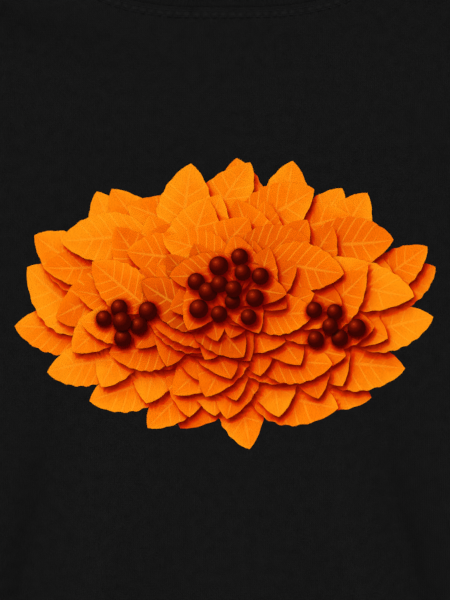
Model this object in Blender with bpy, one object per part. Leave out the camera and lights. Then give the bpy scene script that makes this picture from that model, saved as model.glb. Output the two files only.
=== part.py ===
"""Crew-neck T-shirt with short sleeves, laid flat with its front up.

Metres. +Y runs from the hem to the collar, +X to the wearer's left and +Z up through the front.
The origin is on the resting surface, under the middle of the garment's box.
Outline points are measured from the middle of the hem and moved to that origin at the end.
"""
import math

import bmesh
import bpy
from mathutils import Vector
from mathutils.geometry import delaunay_2d_cdt

# Outline of the garment's left half, from the middle of the hem.
HEM_CORNER = Vector((0.265, 0.0))
ARMPIT = Vector((0.262, 0.450))
SHOULDER = Vector((0.235, 0.688))
ARMHOLE_PULL_TOP = Vector((0.219, 0.618))
ARMHOLE_PULL_LOW = Vector((0.216, 0.497))
ARMHOLE_LENGTH = 0.250
CUFF_TOP = Vector((0.411, 0.565))
CUFF_LOW = Vector((0.327, 0.400))

# Neckline: half widths, heights and how square each arc is (2 is an ellipse).
NECK_HALF = 0.102
NECK_HEIGHT = 0.730
FRONT_DROP = 0.090
BACK_DROP = 0.022
FRONT_SQUARENESS = 3.0
BACK_SQUARENESS = 2.4
RIB_WIDTH = 0.020
RIB_TIP_HALF = 0.083
RIB_TIP_HEIGHT = 0.736

# Cloth.
JERSEY = 0.0009
RIB = 0.0018
TAPE = 0.0005
OVERLOCK = 0.0007
THREAD_RADIUS = 0.00025
GAP = 0.0003
HEM_BAND = 0.022
BAND_STEP = 0.0008

# How the front stands above the back, and where one height passes into the next.
BODY_CROWN = 0.0090
SLEEVE_CROWN = 0.0070
SLEEVE_CROWN_X = (0.20, 0.28)
NECK_CROWN = 0.0045
NECK_CROWN_Y = (0.56, 0.63)
NECK_CROWN_X = (0.12, 0.22)
HEM_CROWN = 0.0060
HEM_CROWN_Y = (0.02, 0.14)
EDGE_FLAT = 0.0025
EDGE_RAMP = 0.060
HEM_LIFT = 0.0010
LIFT_FROM = 0.025
LIFT_TO = 0.045
RIB_FOLD_SPACE = 0.0008
RIB_SINK = 0.0010

# Seams and topstitching.
HEM_ROWS = {"upper": 0.0165, "lower": 0.0110}
NECK_ROWS = {"inner": 0.0025, "outer": 0.0055}
TAPE_EDGES = (0.0014, 0.0104)
TAPE_ROWS = {"upper": 0.0030, "lower": 0.0085}
TAPE_START = math.radians(20)
TAPE_ROW_START = math.radians(30)
NECK_ROW_START = 0.10
SEAM_INSET = 0.0065
SEAM_WIDTH = 0.0050
SEAM_END = 0.012
ROW_INSET = 0.010
SEAM_BOTTOM = HEM_BAND + 0.004
ARMHOLE_SEAM_EDGES = (0.0010, 0.0060)
ARMHOLE_SEAM_DROP = 0.0009
SEAM_SPAN = (0.06, 0.95)

# How finely the shapes are divided.
SLEEVE_ACROSS = 11
SLEEVE_ROWS = (0.0, 0.2, 0.45, 0.75)
BODY_ACROSS = 10
SIDE_STEPS = 16
SHOULDER_STEPS = 5
NECK_ANGLES = 12
BACK_ANGLES = 9
RIB_ROWS = 4
NECK_INSET_ANGLES = 10
NECK_INSET_START = 0.22
TAPE_STEPS = 7
TAPE_ROW_STEPS = 6
FRONT_NET = 0.030
BACK_NET = 0.060
NET_CLEARANCE = 0.6
NET_MERGE = 1e-7
CURVE_STEP = 0.01
FOLD_ANGLES = (math.pi / 4, math.pi / 2, 3 * math.pi / 4)

# The origin is this far up from the hem, in the middle of the garment's box.
GARMENT_MIDDLE = 0.36945

BLACK = (0.009, 0.009, 0.0095, 1.0)
THREAD_BLACK = (0.014, 0.014, 0.015, 1.0)
CLOTH_ROUGHNESS = 0.9
THREAD_ROUGHNESS = 0.6
SIDES = {"left": 1, "right": -1}


def smooth(low, high, value):
    """0 below low, 1 above high and an even curve between them."""
    t = min(max((value - low) / (high - low), 0.0), 1.0)
    return t * t * (3 - 2 * t)


def mix(a, b, t):
    return a + (b - a) * t


def spread(count, low=0.0, high=1.0):
    """Evenly spaced values, both ends included."""
    return [mix(low, high, i / (count - 1)) for i in range(count)]


def arc(half, height, drop, squareness, angle):
    """A point on a neck arc that hangs from its two ends; angle 0 is the left end, pi the right."""
    power = 2 / squareness
    x = half * abs(math.cos(angle)) ** power * (1 if angle < math.pi / 2 else -1)
    return Vector((x, height - drop * abs(math.sin(angle)) ** power))


def front_neck(angle, offset=0.0):
    return arc(NECK_HALF + offset, NECK_HEIGHT, FRONT_DROP + offset, FRONT_SQUARENESS, angle)


def back_neck(angle, offset=0.0):
    return arc(NECK_HALF + offset, NECK_HEIGHT, BACK_DROP + offset, BACK_SQUARENESS, angle)


def armhole(t):
    """The armhole seam, from the shoulder (0) to the armpit (1)."""
    u = 1 - t
    return (SHOULDER * u ** 3 + ARMHOLE_PULL_TOP * (3 * u * u * t)
            + ARMHOLE_PULL_LOW * (3 * u * t * t) + ARMPIT * t ** 3)


def armhole_inside(t, offset):
    """A point this far to the body's side of the armhole seam."""
    run = (armhole(min(t + CURVE_STEP, 1)) - armhole(max(t - CURVE_STEP, 0))).normalized()
    return armhole(t) + Vector((run.y, -run.x)) * offset


def across(line_length, cloth):
    """Places across a flattened sleeve, closer together near its folded edges.

    The first and last leave room for the fold inside the outline.
    """
    inset = (cloth + 2 * GAP) / line_length
    return [mix(inset, 1 - inset, 0.5 - 0.5 * math.cos(math.pi * t)) for t in spread(SLEEVE_ACROSS)]


def armhole_steps():
    return across(ARMHOLE_LENGTH, JERSEY)


def cuff_distance(point):
    """How far a point of the left sleeve is from its cuff line."""
    along = (CUFF_LOW - CUFF_TOP).normalized()
    return abs((point - CUFF_TOP).cross(along))


def cuff_line(distance):
    """Where a line parallel to the cuff, this far up the sleeve, meets the sleeve's two edges."""
    ends = []
    for corner, other in ((CUFF_TOP, SHOULDER), (CUFF_LOW, ARMPIT)):
        ends.append(corner + (other - corner) * (distance / cuff_distance(other)))
    return ends


def segment_distance(point, start, end):
    line = end - start
    t = min(max((point - start).dot(line) / line.length_squared, 0.0), 1.0)
    return (point - start - line * t).length


CLOSED_EDGES = ((HEM_CORNER, ARMPIT), (ARMPIT, CUFF_LOW), (CUFF_TOP, SHOULDER),
                (SHOULDER, Vector((NECK_HALF, NECK_HEIGHT))))


def crown(x, y):
    """The height of the space inside the garment, away from its edges."""
    height = mix(BODY_CROWN, SLEEVE_CROWN, smooth(*SLEEVE_CROWN_X, x))
    height = mix(height, NECK_CROWN, smooth(*NECK_CROWN_Y, y) * (1 - smooth(*NECK_CROWN_X, x)))
    return mix(height, HEM_CROWN, 1 - smooth(*HEM_CROWN_Y, y))


def loft(x, y):
    """The space between the two layers, on top of the gap between touching cloths."""
    point = Vector((abs(x), y))
    edge = min(segment_distance(point, *ends) for ends in CLOSED_EDGES)
    ramp = min(max(edge - EDGE_FLAT, 0.0) / EDGE_RAMP, 1.0)
    return crown(abs(x), y) * math.sqrt(1 - (1 - ramp) ** 2)


def underside(x, y):
    """The lowest face of the back layer: the turned hems lift it off the surface."""
    point = Vector((abs(x), y))
    in_sleeve = point.x > ARMPIT.x and point.y > CUFF_LOW.y - HEM_BAND
    to_edge = cuff_distance(point) if in_sleeve else y
    return HEM_LIFT * (1 - smooth(LIFT_FROM, LIFT_TO, to_edge))


def body_cloth(y):
    """Thickness of a body panel: doubled where the hem is turned up."""
    return JERSEY * (1 + min(max((HEM_BAND + BAND_STEP - y) / BAND_STEP, 0.0), 1.0))


def front_low(x, y, cloth):
    return underside(x, y) + cloth + GAP + loft(x, y)


# Building solids ------------------------------------------------------------------------------------

def finish(obj, colour, roughness):
    """Give a piece its own cloth or thread material."""
    material = bpy.data.materials.new(obj.name + "_finish")
    material.use_nodes = True
    shader = material.node_tree.nodes["Principled BSDF"]
    shader.inputs["Base Color"].default_value = colour
    shader.inputs["Roughness"].default_value = roughness
    shader.inputs["Metallic"].default_value = 0.0
    obj.data.materials.append(material)


def solid(name, corners, faces):
    """One closed body from its corners and faces, moved to the garment's origin."""
    mesh = bpy.data.meshes.new(name)
    mesh.from_pydata([(x, y - GARMENT_MIDDLE, z) for x, y, z in corners], [], faces)
    form = bmesh.new()
    form.from_mesh(mesh)
    bmesh.ops.recalc_face_normals(form, faces=form.faces)
    form.to_mesh(mesh)
    form.free()
    mesh.shade_smooth()
    obj = bpy.data.objects.new(name, mesh)
    bpy.context.collection.objects.link(obj)
    finish(obj, BLACK, CLOTH_ROUGHNESS)
    return obj


def net(outline, rows, spacing):
    """Triangles that fill an outline and pass through the given rows of points."""
    fixed = outline + rows
    inside = []
    step_y = spacing * math.sqrt(3) / 2
    for j in range(int(NECK_HEIGHT / step_y) + 2):
        for i in range(-int(HEM_CORNER.x / spacing) - 1, int(HEM_CORNER.x / spacing) + 2):
            point = Vector(((i + 0.5 * (j % 2)) * spacing, (j + 0.5) * step_y))
            if min((point - other).length for other in fixed) > NET_CLEARANCE * spacing:
                inside.append(point)
    result = delaunay_2d_cdt(fixed + inside, [], [list(range(len(outline)))], 1, NET_MERGE)
    return result[0], result[2]


def panel(name, outline, rows, spacing, low, high):
    """A cut panel: a filled outline with a lower and an upper face."""
    points, triangles = net(outline, rows, spacing)
    count = len(points)
    corners = [(p.x, p.y, low(p.x, p.y)) for p in points] + [(p.x, p.y, high(p.x, p.y)) for p in points]
    uses = {}
    for a, b, c in triangles:
        for edge in ((a, b), (b, c), (c, a)):
            uses.setdefault(frozenset(edge), []).append(edge)
    faces = [tuple(reversed(face)) for face in triangles]
    faces += [tuple(i + count for i in face) for face in triangles]
    faces += [(a, b, b + count, a + count) for edges in uses.values() if len(edges) == 1 for a, b in edges]
    return solid(name, corners, faces)


def fold(start, end, outward):
    """Half a turn of cloth that joins the end of one layer to the start of the other."""
    centre = (start + end) / 2
    arm = (start - end) / 2
    for angle in FOLD_ANGLES:
        facing = arm.normalized() * math.cos(angle) + outward * math.sin(angle)
        yield centre + facing * arm.length, facing


def outward_at(layer):
    """The level direction in which a layer runs off its own end."""
    run = layer[-1] - layer[-2]
    return Vector((run.x, run.y, 0)).normalized()


def flattened_ring(name, rows, cloth):
    """A tube or band of cloth pressed flat.

    Each row goes once round: its upper layer, a fold, its lower layer and a fold back.
    rows holds (upper points, lower points) along the middle of the cloth.
    """
    loops = []
    for (upper, lower), thickness in zip(rows, cloth):
        ring = [(point, Vector((0, 0, 1))) for point in upper]
        ring += list(fold(upper[-1], lower[0], outward_at(upper)))
        ring += [(point, Vector((0, 0, -1))) for point in lower]
        ring += list(fold(lower[-1], upper[0], outward_at(lower)))
        outer = [point + facing * thickness / 2 for point, facing in ring]
        inner = [point - facing * thickness / 2 for point, facing in ring]
        loops.append((outer, inner))
    round_count = len(loops[0][0])
    corners = [tuple(point) for outer, inner in loops for point in outer + inner]
    faces = []
    for row in range(len(loops)):
        for k in range(round_count):
            here = 2 * round_count * row
            after = (k + 1) % round_count
            if row + 1 < len(loops):
                up = here + 2 * round_count
                for skin in (0, round_count):
                    faces.append((here + skin + k, here + skin + after, up + skin + after, up + skin + k))
            if row in (0, len(loops) - 1):
                faces.append((here + k, here + after, here + round_count + after, here + round_count + k))
    return solid(name, corners, faces)


def ribbon(name, path, width, height, low):
    """A flat strip along a path in plan, lying at the height that low gives."""
    corners = []
    for i, point in enumerate(path):
        run = (path[min(i + 1, len(path) - 1)] - path[max(i - 1, 0)]).normalized()
        side = Vector((-run.y, run.x)) * width / 2
        base = low(point.x, point.y)
        for offset, level in ((-side, 0), (side, 0), (side, height), (-side, height)):
            corners.append((point.x + offset.x, point.y + offset.y, base + level))
    last = 4 * (len(path) - 1)
    faces = [(0, 1, 2, 3), (last + 3, last + 2, last + 1, last)]
    for i in range(len(path) - 1):
        for k in range(4):
            faces.append((4 * i + k, 4 * i + (k + 1) % 4, 4 * i + 4 + (k + 1) % 4, 4 * i + 4 + k))
    return solid(name, corners, faces)


def thread(name, points, closed):
    """A sewing thread as a round tube."""
    curve = bpy.data.curves.new(name, "CURVE")
    curve.dimensions = "3D"
    curve.bevel_depth = THREAD_RADIUS
    curve.bevel_resolution = 1
    curve.use_fill_caps = True
    spline = curve.splines.new("POLY")
    spline.points.add(len(points) - 1)
    spline.use_cyclic_u = closed
    for target, (x, y, z) in zip(spline.points, points):
        target.co = (x, y - GARMENT_MIDDLE, z, 1)
    obj = bpy.data.objects.new(name, curve)
    bpy.context.collection.objects.link(obj)
    finish(obj, THREAD_BLACK, THREAD_ROUGHNESS)
    return obj


def raised(points, level):
    """Points in plan, each at the height that level gives there."""
    return [Vector((p.x, p.y, level(p.x, p.y))) for p in points]


# Body panels ----------------------------------------------------------------------------------------

def quarter(steps, start=0.0):
    """Angles from the left shoulder to the middle, without the middle itself."""
    return [start + (math.pi / 2 - start) * i / steps for i in range(steps)]


def both_shoulders(steps, start=0.0):
    """Angles from the left shoulder round to the right one."""
    return spread(2 * steps + 1, start, math.pi - start)


def side_x(y):
    return mix(HEM_CORNER.x, ARMPIT.x, y / ARMPIT.y)


def side_heights():
    return spread(SIDE_STEPS, SEAM_BOTTOM, ARMPIT.y)


def mirrored(half, middle_first, middle_last):
    """A closed outline from its left half and the points on its middle line."""
    other = [Vector((-p.x, p.y)) for p in reversed(half)]
    return [middle_first] + half + [middle_last] + other


def body_outline(neck, steps):
    """One body panel: hem, side, armhole, shoulder and neckline."""
    half = [HEM_CORNER * t for t in spread(BODY_ACROSS)[1:]]
    half += [Vector((side_x(y), y)) for y in [HEM_BAND, HEM_BAND + BAND_STEP] + side_heights()]
    half += [armhole(t) for t in reversed(armhole_steps())] + [SHOULDER]
    shoulder_end = neck(0, GAP / 2)
    half += [SHOULDER.lerp(shoulder_end, t) for t in spread(SHOULDER_STEPS)[1:]]
    half += [neck(angle, GAP / 2) for angle in quarter(steps)[1:]]
    return mirrored(half, Vector((0, 0)), neck(math.pi / 2, GAP / 2))


def cross_rows(heights):
    """Rows of points across the body, level with the hem's own points."""
    rows = []
    for y in heights:
        half_width = side_x(y)
        rows += [Vector((half_width * t, y)) for t in spread(2 * BODY_ACROSS - 1, -1, 1)[1:-1]]
    return rows


def shoulder_run():
    """Where the shoulder line starts at the neck, its direction, and the way into the body."""
    start = Vector((NECK_HALF, NECK_HEIGHT))
    run = (SHOULDER - start).normalized()
    return start, run, Vector((run.y, -run.x))


def seam_rows():
    """Rows of points just inside the side and shoulder seams, so the cloth rises clear of them."""
    sides = [Vector((side_x(y) - ROW_INSET, y)) for y in side_heights()]
    neck_end, run, inward = shoulder_run()
    start = neck_end + run * SEAM_END + inward * ROW_INSET
    end = SHOULDER - run * SEAM_END + inward * ROW_INSET
    half = sides + [start.lerp(end, t) for t in spread(SHOULDER_STEPS)]
    return half + [Vector((-p.x, p.y)) for p in half]


def make_body_panels():
    band_rows = [HEM_BAND, HEM_BAND + BAND_STEP]
    neck_angles = both_shoulders(NECK_INSET_ANGLES, NECK_INSET_START)
    neck_row = [front_neck(angle, ROW_INSET) for angle in neck_angles]
    front_rows = cross_rows(band_rows) + seam_rows() + neck_row
    panel("front_panel", body_outline(front_neck, NECK_ANGLES), front_rows, FRONT_NET,
          lambda x, y: front_low(x, y, body_cloth(y)),
          lambda x, y: front_low(x, y, body_cloth(y)) + body_cloth(y))
    panel("back_panel", body_outline(back_neck, BACK_ANGLES), cross_rows(band_rows + [LIFT_TO]), BACK_NET,
          underside, lambda x, y: underside(x, y) + body_cloth(y))


# Sleeves --------------------------------------------------------------------------------------------

def sleeve_point(s, t):
    """s runs from the armhole (0) to the top of the cuff band (1), t from the top fold down."""
    top, low = cuff_line(LIFT_TO)
    return armhole_inside(t, -GAP).lerp(top.lerp(low, t), s)


def straight_across(top, low, cloth):
    return [top.lerp(low, t) for t in across((low - top).length, cloth)]


def layer_heights(points, cloth, side):
    """The middle of the upper and lower cloths over points of the left sleeve."""
    upper = [Vector((side * p.x, p.y, front_low(p.x, p.y, cloth) + cloth / 2)) for p in points]
    lower = [Vector((side * p.x, p.y, underside(p.x, p.y) + cloth / 2)) for p in reversed(points)]
    return upper, lower


def make_sleeve(name, side):
    rows = []
    cloths = []
    for s in SLEEVE_ROWS:
        points = [sleeve_point(s, t) for t in armhole_steps()]
        rows.append(layer_heights(points, JERSEY, side))
        cloths.append(JERSEY)
    for distance, cloth in ((LIFT_TO, JERSEY), (HEM_BAND + BAND_STEP, JERSEY), (HEM_BAND, 2 * JERSEY),
                            (0.0, 2 * JERSEY)):
        points = straight_across(*cuff_line(distance), cloth)
        rows.append(layer_heights(points, cloth, side))
        cloths.append(cloth)
    flattened_ring(name + "_sleeve", rows, cloths)


# Collar ---------------------------------------------------------------------------------------------

def rib_arc(w, base_drop, squareness, angle):
    """A point on the collar band: w runs from its seam (0) to its folded free edge (1)."""
    half = mix(NECK_HALF - GAP / 2, RIB_TIP_HALF, w)
    height = mix(NECK_HEIGHT, RIB_TIP_HEIGHT, w)
    lowest = NECK_HEIGHT - base_drop + GAP / 2 + RIB_WIDTH * w
    return arc(half, height, height - lowest, squareness, angle)


def make_collar():
    rows = []
    for w in spread(RIB_ROWS):
        def upper_level(x, y, w=w):
            folded = RIB + RIB_FOLD_SPACE + RIB / 2
            return max(folded, front_low(x, y, JERSEY) + JERSEY / 2 - RIB_SINK * w)

        front = [rib_arc(w, FRONT_DROP, FRONT_SQUARENESS, a) for a in both_shoulders(NECK_ANGLES)]
        back = [rib_arc(w, BACK_DROP, BACK_SQUARENESS, a) for a in reversed(both_shoulders(BACK_ANGLES))]
        rows.append((raised(front, upper_level), raised(back, lambda x, y: RIB / 2)))
    flattened_ring("neck_rib", rows, [RIB] * len(rows))


def make_neck_tape():
    middle = sum(TAPE_EDGES) / 2
    on_back = JERSEY + GAP
    path = [back_neck(angle, middle) for angle in both_shoulders(TAPE_STEPS, TAPE_START)]
    ribbon("neck_tape", path, TAPE_EDGES[1] - TAPE_EDGES[0], TAPE, lambda x, y: on_back)
    for row, offset in TAPE_ROWS.items():
        line = [back_neck(angle, offset) for angle in both_shoulders(TAPE_ROW_STEPS, TAPE_ROW_START)]
        level = on_back + TAPE + GAP + THREAD_RADIUS
        thread("tape_topstitch_" + row, raised(line, lambda x, y: level), False)


# Inside seams ---------------------------------------------------------------------------------------

def on_back_layer(x, y):
    return underside(x, y) + JERSEY + GAP


def make_side_seam(name, side):
    """The overlocked edge that runs from the hem to the armpit and on to the sleeve's hem."""
    underarm = (CUFF_LOW - ARMPIT).normalized()
    into_sleeve = Vector((-underarm.y, underarm.x))
    path = [Vector((side_x(y) - SEAM_INSET, y)) for y in side_heights()]
    start = math.pi
    end = math.atan2(into_sleeve.y, into_sleeve.x)
    for angle in spread(5, start, end)[1:-1]:
        path.append(ARMPIT + Vector((math.cos(angle), math.sin(angle))) * SEAM_INSET)
    last = cuff_line(SEAM_BOTTOM)[1] + into_sleeve * SEAM_INSET
    path += [(ARMPIT + into_sleeve * SEAM_INSET).lerp(last, t) for t in spread(3)]
    path = [Vector((side * p.x, p.y)) for p in path]
    ribbon(name + "_side_seam", path, SEAM_WIDTH, OVERLOCK, on_back_layer)


def make_shoulder_seam(name, side):
    start, run, inward = shoulder_run()
    inset = inward * SEAM_INSET
    path = [start + run * SEAM_END + inset, SHOULDER - run * SEAM_END + inset]
    path = [Vector((side * p.x, p.y)) for p in path]
    ribbon(name + "_shoulder_seam", path, SEAM_WIDTH, OVERLOCK, on_back_layer)


def make_armhole_seam(name, side):
    rows = []
    low_level = JERSEY + GAP + OVERLOCK / 2
    for offset in ARMHOLE_SEAM_EDGES:
        points = [armhole_inside(t, offset) for t in armhole_steps() if SEAM_SPAN[0] < t < SEAM_SPAN[1]]
        upper = [Vector((side * p.x, p.y, front_low(p.x, p.y, JERSEY) - ARMHOLE_SEAM_DROP - OVERLOCK / 2))
                 for p in points]
        lower = [Vector((side * p.x, p.y, low_level)) for p in reversed(points)]
        rows.append((upper, lower))
    flattened_ring(name + "_armhole_seam", rows, [OVERLOCK] * len(rows))


# Topstitching ---------------------------------------------------------------------------------------

def loop_round(points, cloth, reach, side=1):
    """A thread path over a flattened tube and back under it, clear of its folded edges."""
    clear = GAP + THREAD_RADIUS
    over = [Vector((side * p.x, p.y, front_low(p.x, p.y, cloth) + cloth + clear)) for p in points]
    under = [Vector((side * p.x, p.y, underside(p.x, p.y) - clear)) for p in reversed(points)]
    path = list(over)
    for first, second in ((over, under), (under, over)):
        beyond = outward_at(first) * reach
        path += [first[-1] + beyond, second[0] + beyond]
        if first is over:
            path += under
    return path


def make_hem_rows():
    for row, y in HEM_ROWS.items():
        points = [Vector((side_x(y) * t, y)) for t in spread(2 * BODY_ACROSS - 1, 1, -1)]
        path = loop_round(points, 2 * JERSEY, GAP + THREAD_RADIUS)
        thread("hem_topstitch_" + row, path, True)


def make_cuff_rows(name, side):
    for row, distance in HEM_ROWS.items():
        cloth = 2 * JERSEY
        points = straight_across(*cuff_line(distance), cloth)
        path = loop_round(points, cloth, cloth + 3 * GAP + THREAD_RADIUS, side)
        thread(f"{name}_cuff_topstitch_{row}", path, True)


def make_neck_rows():
    for row, offset in NECK_ROWS.items():
        line = [front_neck(angle, offset) for angle in both_shoulders(NECK_ANGLES, NECK_ROW_START)]
        level = JERSEY + GAP + THREAD_RADIUS
        thread("neck_topstitch_" + row, raised(line, lambda x, y: front_low(x, y, JERSEY) + level), False)


def main():
    for obj in list(bpy.data.objects):
        bpy.data.objects.remove(obj, do_unlink=True)
    make_body_panels()
    make_collar()
    make_neck_tape()
    make_neck_rows()
    make_hem_rows()
    for name, side in SIDES.items():
        make_sleeve(name, side)
        make_side_seam(name, side)
        make_shoulder_seam(name, side)
        make_armhole_seam(name, side)
        make_cuff_rows(name, side)


main()
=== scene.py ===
"""A black crew-neck T-shirt with an orange leaf print, laid flat on a pale floor.

Metres. +Y runs from the hem to the collar, +X to the wearer's left, +Z up.
Places on the cloth are given in plan, measured from the middle of the hem; surface() lifts
such places to the garment's outer face, folds and seams included.
"""

import itertools
import math
from functools import partial

import bpy
import numpy as np
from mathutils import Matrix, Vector
from mathutils.geometry import delaunay_2d_cdt


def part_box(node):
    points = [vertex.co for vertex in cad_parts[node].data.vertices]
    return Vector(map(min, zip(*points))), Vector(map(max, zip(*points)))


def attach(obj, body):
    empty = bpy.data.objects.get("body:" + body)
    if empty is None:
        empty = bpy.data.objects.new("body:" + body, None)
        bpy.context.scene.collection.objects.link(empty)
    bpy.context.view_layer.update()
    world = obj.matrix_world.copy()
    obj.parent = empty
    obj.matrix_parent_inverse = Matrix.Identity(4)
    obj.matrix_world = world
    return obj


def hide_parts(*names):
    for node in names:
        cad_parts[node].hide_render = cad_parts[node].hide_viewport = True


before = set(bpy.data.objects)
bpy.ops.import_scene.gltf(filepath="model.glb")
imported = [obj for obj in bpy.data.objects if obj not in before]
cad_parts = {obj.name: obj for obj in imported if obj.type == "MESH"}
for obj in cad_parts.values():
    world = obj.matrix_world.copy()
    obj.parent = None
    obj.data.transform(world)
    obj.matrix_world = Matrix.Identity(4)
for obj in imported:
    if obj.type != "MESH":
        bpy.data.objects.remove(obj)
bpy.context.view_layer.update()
BODY = "root"

# ---- The garment's outline, in plan ----
panel_low, panel_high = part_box("front_panel")
rib_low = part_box("neck_rib")[0]
sleeve_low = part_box("left_sleeve")[0]
HEM_Y = panel_low.y
BODY_LENGTH = panel_high.y - HEM_Y
HEM_HALF = panel_high.x
ARMPIT = np.array((HEM_HALF - 0.003, 0.450))
SHOULDER = np.array((0.235, 0.688))
ARMHOLE_PULL_TOP = np.array((0.219, 0.618))
ARMHOLE_PULL_LOW = np.array((0.216, 0.497))
CUFF_TOP = np.array((0.411, 0.565))
CUFF_LOW = np.array((0.327, sleeve_low.y - HEM_Y))
HEM_CORNER = np.array((HEM_HALF, 0.0))
NECK_HALF = 0.102
NECK_END = np.array((NECK_HALF, BODY_LENGTH))
FRONT_DROP = panel_high.y - rib_low.y
BACK_DROP = 0.022
FRONT_SQUARENESS = 3.0
BACK_SQUARENESS = 2.4
RIB_WIDTH = 0.020
RIB_TIP_HALF = 0.083
RIB_TIP_HEIGHT = BODY_LENGTH + 0.006

# Cloth thicknesses and the low space inside the laid garment.
JERSEY = 0.0009
RIB = 0.0018
GAP = 0.0003
STACK = 2 * JERSEY + GAP
SEAM_LEVEL = STACK / 2
BODY_CROWN = 0.0090
SLEEVE_CROWN = 0.0070
NECK_CROWN = 0.0045
HEM_CROWN = 0.0060
EDGE_RAMP = 0.060
EDGE_ROUND = 0.0012
HEM_LIFT = 0.0010
LIFT_FROM = 0.025
LIFT_TO = 0.045
HEM_BAND = 0.022

# Rows of stitches: distance from the hem's or the neckline's edge.
HEM_ROWS = {"upper": 0.0165, "lower": 0.0110}
NECK_ROWS = {"inner": 0.0024, "outer": 0.0057}
TAPE_ROWS = {"upper": 0.0030, "lower": 0.0085}
SIDES = {"left": 1, "right": -1}

# Cross-sections of the collar seam: distance below the seam, and how far the cloth stands up there.
NECK_SECTION = ((0.0, -0.00020), (0.0005, -0.00008), (0.0012, 0.0), (0.0030, -0.00010),
                (0.0048, -0.00008), (0.0066, -0.00012), (0.0080, -0.00005), (0.0100, 0.0))
PUCKER_SECTION = ((0.0026, 0.0), (0.0048, 0.00120), (0.0052, 0.00110), (0.0068, 0.0))
PUCKER_PITCH = 0.0048
# The painted highlight on the lit sides of the collar's puckers: its depth and width; and the hem
# fold's real wear.
PUCKER_HIGHLIGHT_DEPTH = 0.0047
PUCKER_HIGHLIGHT_WIDTH = 0.0012
RUBBED_HEM_WIDTH = 0.0015
NEEDLE_HOLE = 0.0001
SEAM_REACH = 0.02

# The hem band's step, stitch grooves, ridge and puckers, and the sleeve seam's valley and puckers.
BAND_STEP = 0.0006
BAND_GROOVE = 0.0004
BAND_RIDGE = 0.00025
BAND_PUCKER = 0.00022
BAND_PUCKER_PITCH = 0.0064
BAND_UNEVEN_PITCH = 0.019
ARMHOLE_VALLEY = 0.0009
ARMHOLE_PUCKER = 0.00025
ARMHOLE_PUCKER_PITCH = 0.011

# The chest print.
PRINT_CENTRE = np.array((0.0, rib_low.y - HEM_Y - 0.162))
PRINT_SIZE = np.array((0.228, 0.155))
CHEST_Y = PRINT_CENTRE[1] + HEM_Y


# ---- Small tools ----
UP = np.array((0.0, 0.0, 1.0))


def smooth(low, high, value):
    t = np.clip((value - low) / (high - low), 0, 1)
    return t * t * (3 - 2 * t)


def mix(a, b, t):
    return a + (b - a) * t


def put(target, **values):
    for name, value in values.items():
        setattr(target, name, value)


def bump(centre, width, value):
    """A bell of height 1."""
    return np.exp(-((value - centre) / width) ** 2)


def segment_distance(points, start, end):
    line = end - start
    t = np.clip((points - start) @ line / (line @ line), 0, 1)
    return np.hypot(*(points - start - t[:, None] * line).T), t


def line_distance(points, line):
    """Distance from each point to a polyline, and how far along the polyline that is."""
    best = np.full(len(points), np.inf)
    along = np.zeros(len(points))
    before = 0.0
    for start, end in zip(line[:-1], line[1:]):
        distance, t = segment_distance(points, start, end)
        length = np.hypot(*(end - start))
        nearer = distance < best
        best[nearer] = distance[nearer]
        along[nearer] = before + t[nearer] * length
        before += length
    return best, along


def unit(vectors):
    return vectors / np.linalg.norm(vectors, axis=1)[:, None]


def passed(line):
    """How far along a polyline each of its points is."""
    return np.concatenate(([0], np.cumsum(np.linalg.norm(np.diff(line, axis=0), axis=1))))


def read_line(line, along, wanted):
    return np.column_stack([np.interp(wanted, along, column) for column in line.T])


def even(line, count):
    """A polyline's points spread evenly along it; works in 2 or 3 dimensions."""
    along = passed(line)
    return read_line(line, along, np.linspace(0, along[-1], count))


def length_of(line):
    return passed(line)[-1]


def arc(half, height, drop, squareness, angles):
    """A neck arc that hangs from its two ends; angle 0 is the left end, pi the right."""
    power = 2 / squareness
    x = half * np.abs(np.cos(angles)) ** power * np.sign(np.cos(angles))
    return np.column_stack((x, height - drop * np.abs(np.sin(angles)) ** power))


def neckline(drop, squareness, offset=0.0, count=400, start=0.0):
    """The neck seam, or a line this far below it, between two angles as far from its two ends."""
    angles = np.linspace(start, math.pi - start, count)
    return arc(NECK_HALF + offset, BODY_LENGTH, drop + offset, squareness, angles)


front_neck = partial(neckline, FRONT_DROP, FRONT_SQUARENESS)
back_neck = partial(neckline, BACK_DROP, BACK_SQUARENESS, count=200)


def armhole(t):
    """The left armhole seam from the shoulder (0) to the armpit (1)."""
    t = np.asarray(t)[:, None]
    u = 1 - t
    return (SHOULDER * u ** 3 + ARMHOLE_PULL_TOP * 3 * u * u * t
            + ARMHOLE_PULL_LOW * 3 * u * t * t + ARMPIT * t ** 3)


def cuff_distance(points):
    along = (CUFF_LOW - CUFF_TOP) / np.hypot(*(CUFF_LOW - CUFF_TOP))
    away = points - CUFF_TOP
    return np.abs(away[:, 0] * along[1] - away[:, 1] * along[0])


def cuff_line(distance):
    """The two ends of a line parallel to the cuff, this far up the left sleeve."""
    ends = []
    for corner, other in ((CUFF_TOP, SHOULDER), (CUFF_LOW, ARMPIT)):
        ends.append(corner + (other - corner) * (distance / cuff_distance(other[None])[0]))
    return ends


def mirror(points):
    return points * (-1, 1)


def left_half(points):
    """Places on the left half as they are, and those on the right half mirrored onto it."""
    return np.column_stack((np.abs(points[:, 0]), points[:, 1]))


def placed(points, height):
    """Places in plan, set at a height in the garment's own frame."""
    return np.column_stack((points[:, 0], points[:, 1] + HEM_Y, np.broadcast_to(height, len(points))))


NECK_LINE = front_neck()
ARMHOLE_LINE = armhole(np.linspace(0, 1, 60))
CLOSED_EDGES = ((HEM_CORNER, ARMPIT), (ARMPIT, CUFF_LOW), (CUFF_TOP, SHOULDER), (SHOULDER, NECK_END))


def inside(points, outline):
    found = np.zeros(len(points), bool)
    x, y = points.T
    for (x1, y1), (x2, y2) in zip(outline, np.roll(outline, -1, axis=0)):
        if y1 != y2:
            found ^= ((y1 > y) != (y2 > y)) & (x < (x2 - x1) * (y - y1) / (y2 - y1) + x1)
    return found


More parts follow.
